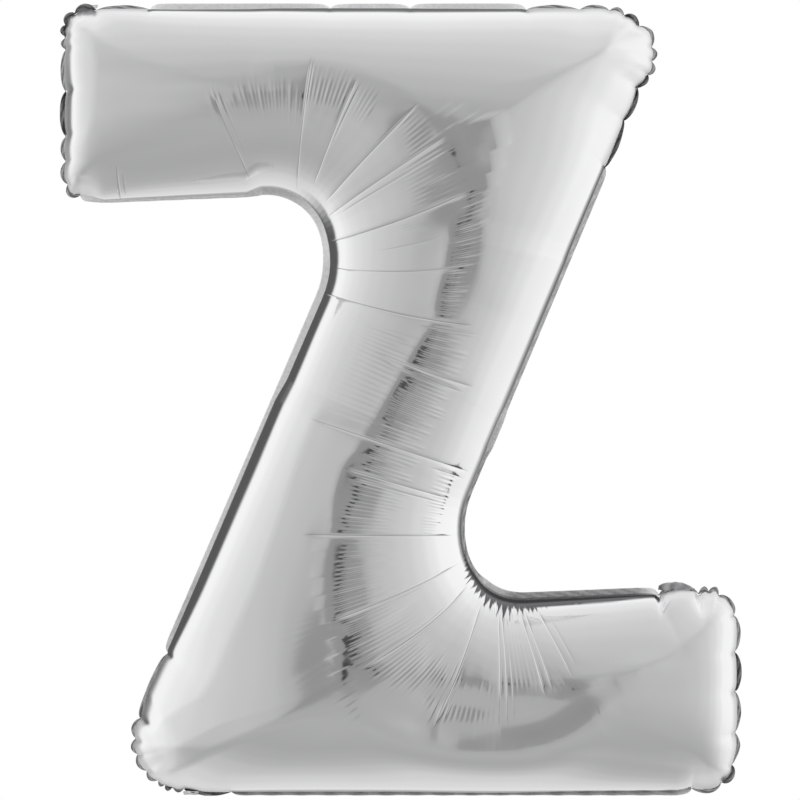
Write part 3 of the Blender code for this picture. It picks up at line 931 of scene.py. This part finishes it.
def raise_by(tree, height, strength, distance):
    """Feeds a height to the shader's normal through a Bump node."""
    bump = tree.nodes.new("ShaderNodeBump")
    for label, value in (("Strength", strength), ("Distance", distance), ("Height", height)):
        feed(tree, value, bump.inputs[label])
    feed(tree, bump.outputs["Normal"], tree.nodes["Principled BSDF"].inputs["Normal"])


def stored(tree, name):
    """The number that the mesh holds under a name."""
    attribute = tree.nodes.new("ShaderNodeAttribute")
    attribute.attribute_name = name
    return attribute.outputs["Fac"]


def mottled_tint(tree, seal, light, dark, mottle, gather, start):
    """A tint that darkens with the mottle of the weld and with the number the mesh holds, mostly painted
    shade in gathers and folds.
    """
    shade = worked_out(tree, "MULTIPLY_ADD", stored(tree, "gather"), gather, start)
    return blended(tree, worked_out(tree, "MULTIPLY_ADD", seal["Shade"], mottle, shade), light, dark)


# %% [markdown]
# The film is a clear mirror, the margin is hazier and greyer, and the tail and the tabs
# are satin. So each finish takes its effects from the groups with numbers of its own.

# %% Finishes
PUCKER_HAZE = 0.40
# The third colour is the dark of painted shade, in the folds of the film and the margin.
FILM_LIGHT, MARGIN_LIGHT, PAINTED_SHADE_DARK = (0.93, 0.93, 0.935, 1), (0.90, 0.90, 0.905, 1), (0.10, 0.10, 0.105, 1)
SATIN_DARK = 0.35


def film_material():
    """Silver film: a mirror with slow waves, a little haze and painted shade in its tight gathers."""
    material, tree, shader = new_finish("silver_film", metallic=1.0)
    # The number gather is painted shade in the tight gathers and crease cores.
    feed(tree, blended(tree, stored(tree, "gather"), FILM_LIGHT, PAINTED_SHADE_DARK), shader["Base Color"])
    hazy = placed_effect(tree, haze, Scale=11.0, Clear=0.07, Hazy=0.13)["Roughness"]
    blur = worked_out(tree, "MULTIPLY_ADD", stored(tree, "pucker"), PUCKER_HAZE, hazy)
    feed(tree, blur, shader["Roughness"])
    waves = placed_effect(tree, slow_waves, Waves=16.0, Crinkle=90.0, Crinkle_Share=0.05)
    raise_by(tree, waves["Height"], strength=1.0, distance=0.25 * MM)
    return material


def margin_material():
    """Welded film: hazy and light where it runs straight, mottled, with painted shade where it gathers."""
    material, tree, shader = new_finish("welded_film", metallic=0.45)
    seal = placed_effect(tree, knurl, Pitch=850.0, Mottle=260.0)
    # Its darkening by the number gather is painted shade.
    tint = mottled_tint(tree, seal, MARGIN_LIGHT, PAINTED_SHADE_DARK, mottle=0.5, gather=0.95, start=-0.22)
    feed(tree, tint, shader["Base Color"])
    hazy = placed_effect(tree, haze, Scale=120.0, Clear=0.34, Hazy=0.55)["Roughness"]
    feed(tree, hazy, shader["Roughness"])
    raise_by(tree, seal["Height"], strength=0.6, distance=0.25 * MM)
    return material


def satin_material(name, grey, roughness):
    """Satin film of the tail and the tabs: painted shade in the tail's folds and sides, a tab darker at rim
    and slot.
    """
    material, tree, shader = new_finish(name, metallic=0.35)
    light, dark = ((share * grey, share * grey, share * (grey + 0.01), 1) for share in (1, SATIN_DARK))
    seal = placed_effect(tree, knurl, Pitch=1100.0, Mottle=300.0)
    # For the tail the number gather is painted shade; for a tab it darkens the rim and the slot.
    tint = mottled_tint(tree, seal, light, dark, mottle=0.55, gather=0.6, start=-0.15)
    feed(tree, tint, shader["Base Color"])
    hazy = placed_effect(tree, haze, Scale=160.0, Clear=roughness - 0.08, Hazy=roughness + 0.10)["Roughness"]
    feed(tree, hazy, shader["Roughness"])
    waves = placed_effect(tree, slow_waves, Waves=180.0, Crinkle=700.0, Crinkle_Share=0.3)
    raise_by(tree, waves["Height"], strength=1.0, distance=0.6 * MM)
    return material


silver, welded = film_material(), margin_material()
valve_film = satin_material("valve_film", grey=0.50, roughness=0.42)
tab_film = satin_material("tab_film", grey=0.72, roughness=0.38)
print("finishes:", ", ".join(material.name for material in (silver, welded, valve_film, tab_film)))

# %% [markdown]
# Tight gathers beside the weld of an inner bend trap the light, and so does the core of a
# long crease. Their folds are far finer than the mesh, so they are kept as a dark shade
# on each vertex. Along the gathered rim, puckers too fine for the mesh blur the mirror.

# %% Shades of the folds
# Each band of gathers: its stretch of the rim, and along it the depth of its band of painted
# shade in millimetres and how much its edge is toothed, from 0 to 1.
GATHERS = [
    ([(458, 545), (464, 565), (474, 582), (492, 593), (520, 600), (546, 601), (610, 600),
      (658, 598)], (0, 4, 9, 13, 13, 9, 7, 4), (0.6, 0.6, 0.6, 0.6, 0.5, 0.05, 0, 0)),
    ([(296, 193), (304, 200), (314, 208), (325, 221), (332, 243), (330, 280), (318, 312),
      (290, 370)], (0, 4, 5.5, 4, 8, 9, 8, 4), (0, 0, 0, 0.2, 0.3, 0.2, 0, 0)),
]
GATHER_PITCH, GATHER_DRIFT, GATHER_EDGE, GATHER_LEAST = 5.5 * MM, 17 * MM, 1.2 * MM, 0.5 * MM
GATHER_SWAY, TOOTH_BASE = 0.45, 0.6
CREASE_CORE, CREASE_ROOT = 0.5 * MM, 7 * MM
CREASE_SHADE, ROOT_SHADE, TIP_SHADE, DARKEST = 0.34, 1.6, 0.3, 0.9
PUCKER_HAZE_REACH = 9 * MM
SHORTEST_TOOTH, LONGEST_TOOTH, TOOTH_COUNT = 0.2, 2.4, 31
tooth_lengths = np.random.default_rng(11).uniform(SHORTEST_TOOTH, LONGEST_TOOTH, TOOTH_COUNT)


def gather_shade():
    """1 in the dark bands of tight gathers beside the weld, 0 elsewhere."""
    shade = np.zeros(len(plan))
    for places, depths, teeth in GATHERS:
        stations = marks_on(outline, places)
        depth = np.interp(rim_along, stations, depths, left=0, right=0) * MM
        phase = rim_along / GATHER_PITCH + GATHER_SWAY * np.sin(rim_along / GATHER_DRIFT)
        length = tooth_lengths[phase.astype(int) % len(tooth_lengths)]
        tooth = length * np.abs(phase % 1.0 - 0.5) * 2 - TOOTH_BASE
        depth *= 1 + np.interp(rim_along, stations, teeth) * tooth
        band = np.clip((depth - rim_distance) / GATHER_EDGE, 0, 1) * (depth > GATHER_LEAST)
        shade = np.maximum(shade, band)
    return shade


def crease_shade():
    """The dark core of each long crease, darkest where it starts at the weld."""
    shade = np.zeros(len(plan))
    root = 1 + ROOT_SHADE * np.exp(-rim_distance / CREASE_ROOT)
    for mark, (place, low, high, depth) in zip(crease_marks, CREASES):
        on_crease = (rib_share > low) * (rib_share < high)
        to_end = np.minimum(rib_share - low, high - rib_share)
        fade = np.clip(to_end / CREASE_FADE + TIP_SHADE, 0, 1) * on_crease
        core = np.exp(-((crest_along - mark) / CREASE_CORE) ** 2)
        shade = np.maximum(shade, CREASE_SHADE * depth * fade * root * core)
    return np.clip(shade, 0, DARKEST)


pleat_shade = np.maximum(gather_shade(), crease_shade())
fine_pucker = gathered(rim_along) * np.exp(-(rim_distance / PUCKER_HAZE_REACH) ** 2)
print("shaded points", int((pleat_shade > 0.5).sum()), "of", len(plan))

# %% [markdown]
# Every soft piece here starts as a flat grid whose points are then moved as a sculptor
# would push clay, all at once. Each sheet's grid has its columns laid along the ribs. The
# relief lifts the film along its own normal, and near the rim the film follows the weld
# into its scallops. The back sheet is the same letter with pleats of its own.

# %% Film sheets
BACK_WANDER = 4 * MM


def grid_piece(name, columns, rows):
    """A flat grid to start a piece from, and the place of each of its points, 0 to 1 both ways."""
    deselect()
    bpy.ops.mesh.primitive_grid_add(x_subdivisions=columns, y_subdivisions=rows, size=1)
    piece = bpy.context.object
    piece.name = name
    place = np.empty(len(piece.data.vertices) * 3)
    piece.data.vertices.foreach_get("co", place)
    return piece, place[::3] + 0.5, place[1::3] + 0.5


def move_points(piece, places):
    """Moves the points of a piece, given as X, Y and Z of each."""
    piece.data.vertices.foreach_set("co", places.ravel())
    piece.data.update()


def paint(piece, name, values):
    """Stores one number on each vertex, for the material to read."""
    attribute = piece.data.attributes.new(name, "FLOAT", "POINT")
    attribute.data.foreach_set("value", np.asarray(values, dtype=np.float32))


def film_sheet(name, side, relief):
    """One sheet of film on the ribs; side is minus one for the front."""
    sheet, over, up = grid_piece(name, COLUMNS - 1, ROWS - 1)
    index = (np.rint(over * (COLUMNS - 1)) * ROWS + np.rint(up * (ROWS - 1))).astype(int)
    place = np.stack([plan[:, 0], side * height, plan[:, 1]], axis=1).reshape(COLUMNS, ROWS, 3)
    normal = np.cross(np.gradient(place, axis=0), np.gradient(place, axis=1))
    normal /= np.linalg.norm(normal, axis=2, keepdims=True) + TINY
    normal *= np.sign(normal[..., 1:2] * side + TINY)
    place = (place + normal * relief.reshape(COLUMNS, ROWS, 1)).reshape(-1, 3)
    shift = outward_at(rim_along) * (scallop(rim_along) * rim_hold)[:, None]
    place += np.stack([shift[:, 0], flutter(rim_along) * rim_hold, shift[:, 1]], axis=1)
    move_points(sheet, place[index])
    if side * sum(polygon.normal.y for polygon in sheet.data.polygons) < 0:
        bpy.ops.object.mode_set(mode="EDIT")
        bpy.ops.mesh.select_all(action="SELECT")
        bpy.ops.mesh.flip_normals()
        bpy.ops.object.mode_set(mode="OBJECT")
    sheet.data.shade_smooth()
    # The number gather is painted shade of the gathers and creases; pucker blurs the mirror.
    paint(sheet, "gather", pleat_shade[index])
    paint(sheet, "pucker", fine_pucker[index])
    sheet.data.materials.append(silver)
    return sheet


front_film = film_sheet("front_film", -1, smooth_relief + comb_height(7) - crease_depth(1, 0))
back_film = film_sheet("back_film", 1, smooth_relief + comb_height(23) - crease_depth(2, BACK_WANDER))
for sheet, node in ((front_film, "front_panel"), (back_film, "back_panel")):
    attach(sheet, "root")
    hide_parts(node)
print("film area", round(sum(polygon.area for polygon in front_film.data.polygons), 3), "square metres")
print("film triangles", 2 * len(front_film.data.polygons))

# %% [markdown]
# Round the letter runs the welded margin: both films pressed together by a hot knurled
# bar, about six millimetres wide. It is a ribbon along the outline, so one long grid is
# laid along the weld, bent to its scallops, and given the thickness of the welded films.

# %% Welded margin
MARGIN_WIDTH, MARGIN_UNDER, MARGIN_THICKNESS = 6.2 * MM, 1.2 * MM, 0.35 * MM
MARGIN_STEP, MARGIN_ROWS = 1.2 * MM, 8
PETAL_OPEN, PETAL_POWER, LEAST_OPEN = 0.74, 0.7, 0.02
NOTCH_CLOSING, TURN_REACH = 0.8, 4.0 * MM
# The share of the petals that turn to the back.
TURNED_BACK = 0.7
TURN_WAYS = np.where(np.random.default_rng(5).random(len(marks)) < TURNED_BACK, 1.0, -1.0)
JOIN_GAP = 0.02 * MM
# How much a turned petal and the painted shade of the margin vary, and the lengths of their waves.
TURN_WAVE, TURN_WAVE_LENGTH, SHADE_WAVE, SHADE_WAVE_LENGTH = 0.3, 5 * MM, 0.2, 3 * MM


def select_only(piece):
    """Makes one piece the only selected and active one."""
    deselect()
    piece.select_set(True)
    bpy.context.view_layer.objects.active = piece


def close_ribbon(piece):
    """Joins the two ends of a ribbon that meet, and turns its faces out."""
    select_only(piece)
    bpy.ops.object.mode_set(mode="EDIT")
    bpy.ops.mesh.select_all(action="SELECT")
    bpy.ops.mesh.remove_doubles(threshold=JOIN_GAP)
    bpy.ops.mesh.normals_make_consistent(inside=False)
    bpy.ops.object.mode_set(mode="OBJECT")


def thicken(piece, thickness):
    """Gives a sheet its thickness, half to each side."""
    select_only(piece)
    wall = piece.modifiers.new("film_thickness", "SOLIDIFY")
    wall.thickness = thickness
    wall.offset = 0
    bpy.ops.object.modifier_apply(modifier=wall.name)
    piece.data.shade_smooth()


def welded_margin():
    """The ribbon of welded film all round the letter."""
    ribbon, over, up = grid_piece("welded_margin", round(outline_length / MARGIN_STEP), MARGIN_ROWS - 1)
    along = over % 1.0 * outline_length
    out = up * (MARGIN_WIDTH + MARGIN_UNDER) - MARGIN_UNDER
    before, share, span = between_notches(along)
    gather = gathered(along)
    petal = PETAL_OPEN * np.sin(math.pi * share) ** PETAL_POWER
    straight = 1 - NOTCH_CLOSING * np.exp(-np.minimum(share, 1 - share) * span / TURN_REACH)
    opened = gather * petal + (1 - gather) * straight * run_value(along, RUN_OPEN, 1.0)
    opened = np.clip(opened, LEAST_OPEN, 1)
    spot = point_at(outline, along) + outward_at(along) * (scallop(along) + out * opened)[:, None]
    way = TURN_WAYS[before] * (1 + TURN_WAVE * np.sin(along / TURN_WAVE_LENGTH))
    curl = flutter(along) + out * way * np.sqrt(1 - opened ** 2)
    move_points(ribbon, np.stack([spot[:, 0], curl, spot[:, 1]], axis=1))
    # Painted shade on the margin: dark in its gathered petals and along the shaded runs, in a slight wave.
    grey = np.maximum(gather, run_value(along, RUN_SHADE, 0))
    wave = np.sin(along / SHADE_WAVE_LENGTH + out / MM)
    paint(ribbon, "gather", grey * (1 - SHADE_WAVE + SHADE_WAVE * wave))
    close_ribbon(ribbon)
    thicken(ribbon, MARGIN_THICKNESS)
    ribbon.data.materials.append(welded)
    return ribbon


margin = welded_margin()
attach(margin, "root")
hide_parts("sealed_edge")
print("margin triangles", 2 * len(margin.data.polygons))

# %% [markdown]
# The filling valve is a flat sleeve of film whose end stands out of the weld on the lower
# bar. It is soft, so it arches up over the margin, tips forward and crumples. A grid is
# bent along a curve: straight up, then round to the front.

# %% Valve tail
TAIL_AT, TAIL_WIDTH, TAIL_LENGTH, TAIL_THICKNESS = 0.3050, 41 * MM, 21 * MM, 0.20 * MM
TAIL_FOOT = (-1.5 * MM, -0.2108)
TAIL_COLUMNS, TAIL_ROWS, TAIL_STATIONS = 36, 16, 60
# It leaves the weld at the first angle, and tips by the second over a stretch of its length.
TAIL_STANDS, TAIL_TIPS, TIP_FROM, TIP_OVER = 96, 190, 0.28, 0.42
TAIL_SHORTEST, TAIL_MIDDLE, TAIL_ARCH, TAIL_SKEW, TAIL_NARROWING = 0.22, 0.08, 0.6, 0.25, 0.05
# The crumple: two waves, how much of them also lifts the film, and how dark the painted shade
# in its folds and at its two sides is. The numbers inside a sine are the turns of a wave across
# and along the tail.
TAIL_WAVE, TAIL_CRINKLE, TAIL_LIFT = 1.3 * MM, 0.9 * MM, 0.4
TAIL_FOLD_SHADE, TAIL_SIDE_SHADE, TAIL_SIDE_POWER = 0.9, 0.7, 6


def valve_tail():
    """The crumpled tongue of the filling valve."""
    tail, over, up = grid_piece("filling_tail", TAIL_COLUMNS, TAIL_ROWS)
    side = 2 * over - 1
    run = np.linspace(0, 1, TAIL_STATIONS)
    heading = np.radians(TAIL_STANDS - TAIL_TIPS * np.clip((run - TIP_FROM) / TIP_OVER, 0, 1))
    forward, rise = (np.interp(up, run, np.concatenate([[0], np.cumsum(part[1:])]) / TAIL_STATIONS)
                     for part in (np.cos(heading), np.sin(heading)))
    arch = np.clip(1 - (side + TAIL_MIDDLE) ** 2, 0, 1) ** TAIL_ARCH
    length = TAIL_LENGTH * (TAIL_SHORTEST + (1 - TAIL_SHORTEST) * arch) * (1 - TAIL_SKEW * up * side)
    crumple = up * (TAIL_WAVE * np.sin(4.6 * side + 1.4 * up)
                    + TAIL_CRINKLE * np.sin(12 * side - 7 * up + 1.2 * np.sin(5 * side)))
    move_points(tail, np.stack([TAIL_AT + side * (0.5 - TAIL_NARROWING * up) * TAIL_WIDTH,
                                TAIL_FOOT[0] - length * forward + crumple * np.clip(3 * up, 0, 1),
                                TAIL_FOOT[1] + length * rise + TAIL_LIFT * crumple], axis=1))
    # Painted shade: stripes of fold shade over the crumple, darker towards the two sides.
    folds = TAIL_FOLD_SHADE * np.clip(2 * up - 0.2, 0, 1) * (0.5 + 0.5 * np.sin(9 * side + 5 * up))
    paint(tail, "gather", folds + TAIL_SIDE_SHADE * np.abs(side) ** TAIL_SIDE_POWER)
    thicken(tail, TAIL_THICKNESS)
    tail.data.materials.append(valve_film)
    return tail


tail = valve_tail()
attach(tail, "root")
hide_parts("valve_tail")
print("tail triangles", 2 * len(tail.data.polygons))

# %% [markdown]
# Two small tabs of the same film carry the balloon on a thread. Each is a plate with round
# corners and an oblong slot. A grid is bent round the slot, so that its inner edge is the
# slot and its outer edge the rim. The tab is then tipped about its root, forward at the
# foot and back at the head.

# %% Hanging tabs
TAB_WIDTH, TAB_LENGTH, TAB_SQUARENESS, TAB_THICKNESS = 17 * MM, 12 * MM, 7, 0.25 * MM
SLOT_WIDTH, SLOT_HEIGHT, SLOT_PLACE = 8 * MM, 3 * MM, 0.62
TAB_TURNS, TAB_RINGS, TAB_CLEAR = 96, 6, 1.3 * MM
TAB_LEAN, TAB_CURL, TAB_RIPPLE = math.radians(60), 0.8 * MM, 0.3
# How dark the tab is at its rim and its slot, and over how much of its width that fades.
TAB_SHADE, RIM_FADE, SLOT_FADE = 0.8, 0.22, 0.12


def round_outline(turn, width, height):
    """Points of an oblong with round corners, at turns from 0 to 1."""
    level, upright = np.cos(2 * math.pi * turn), np.sin(2 * math.pi * turn)
    reach = (np.abs(level) ** TAB_SQUARENESS + np.abs(upright) ** TAB_SQUARENESS) ** (-1 / TAB_SQUARENESS)
    return 0.5 * width * reach * level, 0.5 * height * reach * upright


def hanging_tab(name, root_x, root_z, towards):
    """A slotted tab; towards is minus one where it leans to the front."""
    tab, turn, ring = grid_piece(name, TAB_TURNS, TAB_RINGS)
    slot_x, slot_z = round_outline(turn, SLOT_WIDTH, SLOT_HEIGHT)
    rim_x, rim_z = round_outline(turn, TAB_WIDTH, TAB_LENGTH)
    slot_z += (SLOT_PLACE - 0.5) * TAB_LENGTH
    side = slot_x + ring * (rim_x - slot_x)
    up = (slot_z + ring * (rim_z - slot_z)) / TAB_LENGTH + 0.5
    curl = towards * TAB_CURL * (up ** 2 + TAB_RIPPLE * np.sin(9 * side / TAB_WIDTH))
    move_points(tab, np.stack([side, curl, up * TAB_LENGTH], axis=1))
    shade = TAB_SHADE * np.maximum(np.exp(-(1 - ring) / RIM_FADE), np.exp(-ring / SLOT_FADE))
    paint(tab, "gather", shade)
    close_ribbon(tab)
    thicken(tab, TAB_THICKNESS)
    root = Matrix.Translation((root_x, towards * TAB_CLEAR, root_z))
    tab.data.transform(root @ Matrix.Rotation(-towards * TAB_LEAN, 4, "X"))
    tab.data.update()
    tab.data.materials.append(tab_film)
    return tab


for name, node, root_x, root_z, towards in (("foot_tab", "lower_hanging_tab", -0.2310, -0.4372, -1),
                                            ("head_tab", "upper_hanging_tab", -0.3440, 0.4320, 1)):
    tab = hanging_tab(name, root_x, root_z, towards)
    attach(tab, "root")
    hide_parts(node)
    print(name, "triangles", 2 * len(tab.data.polygons))
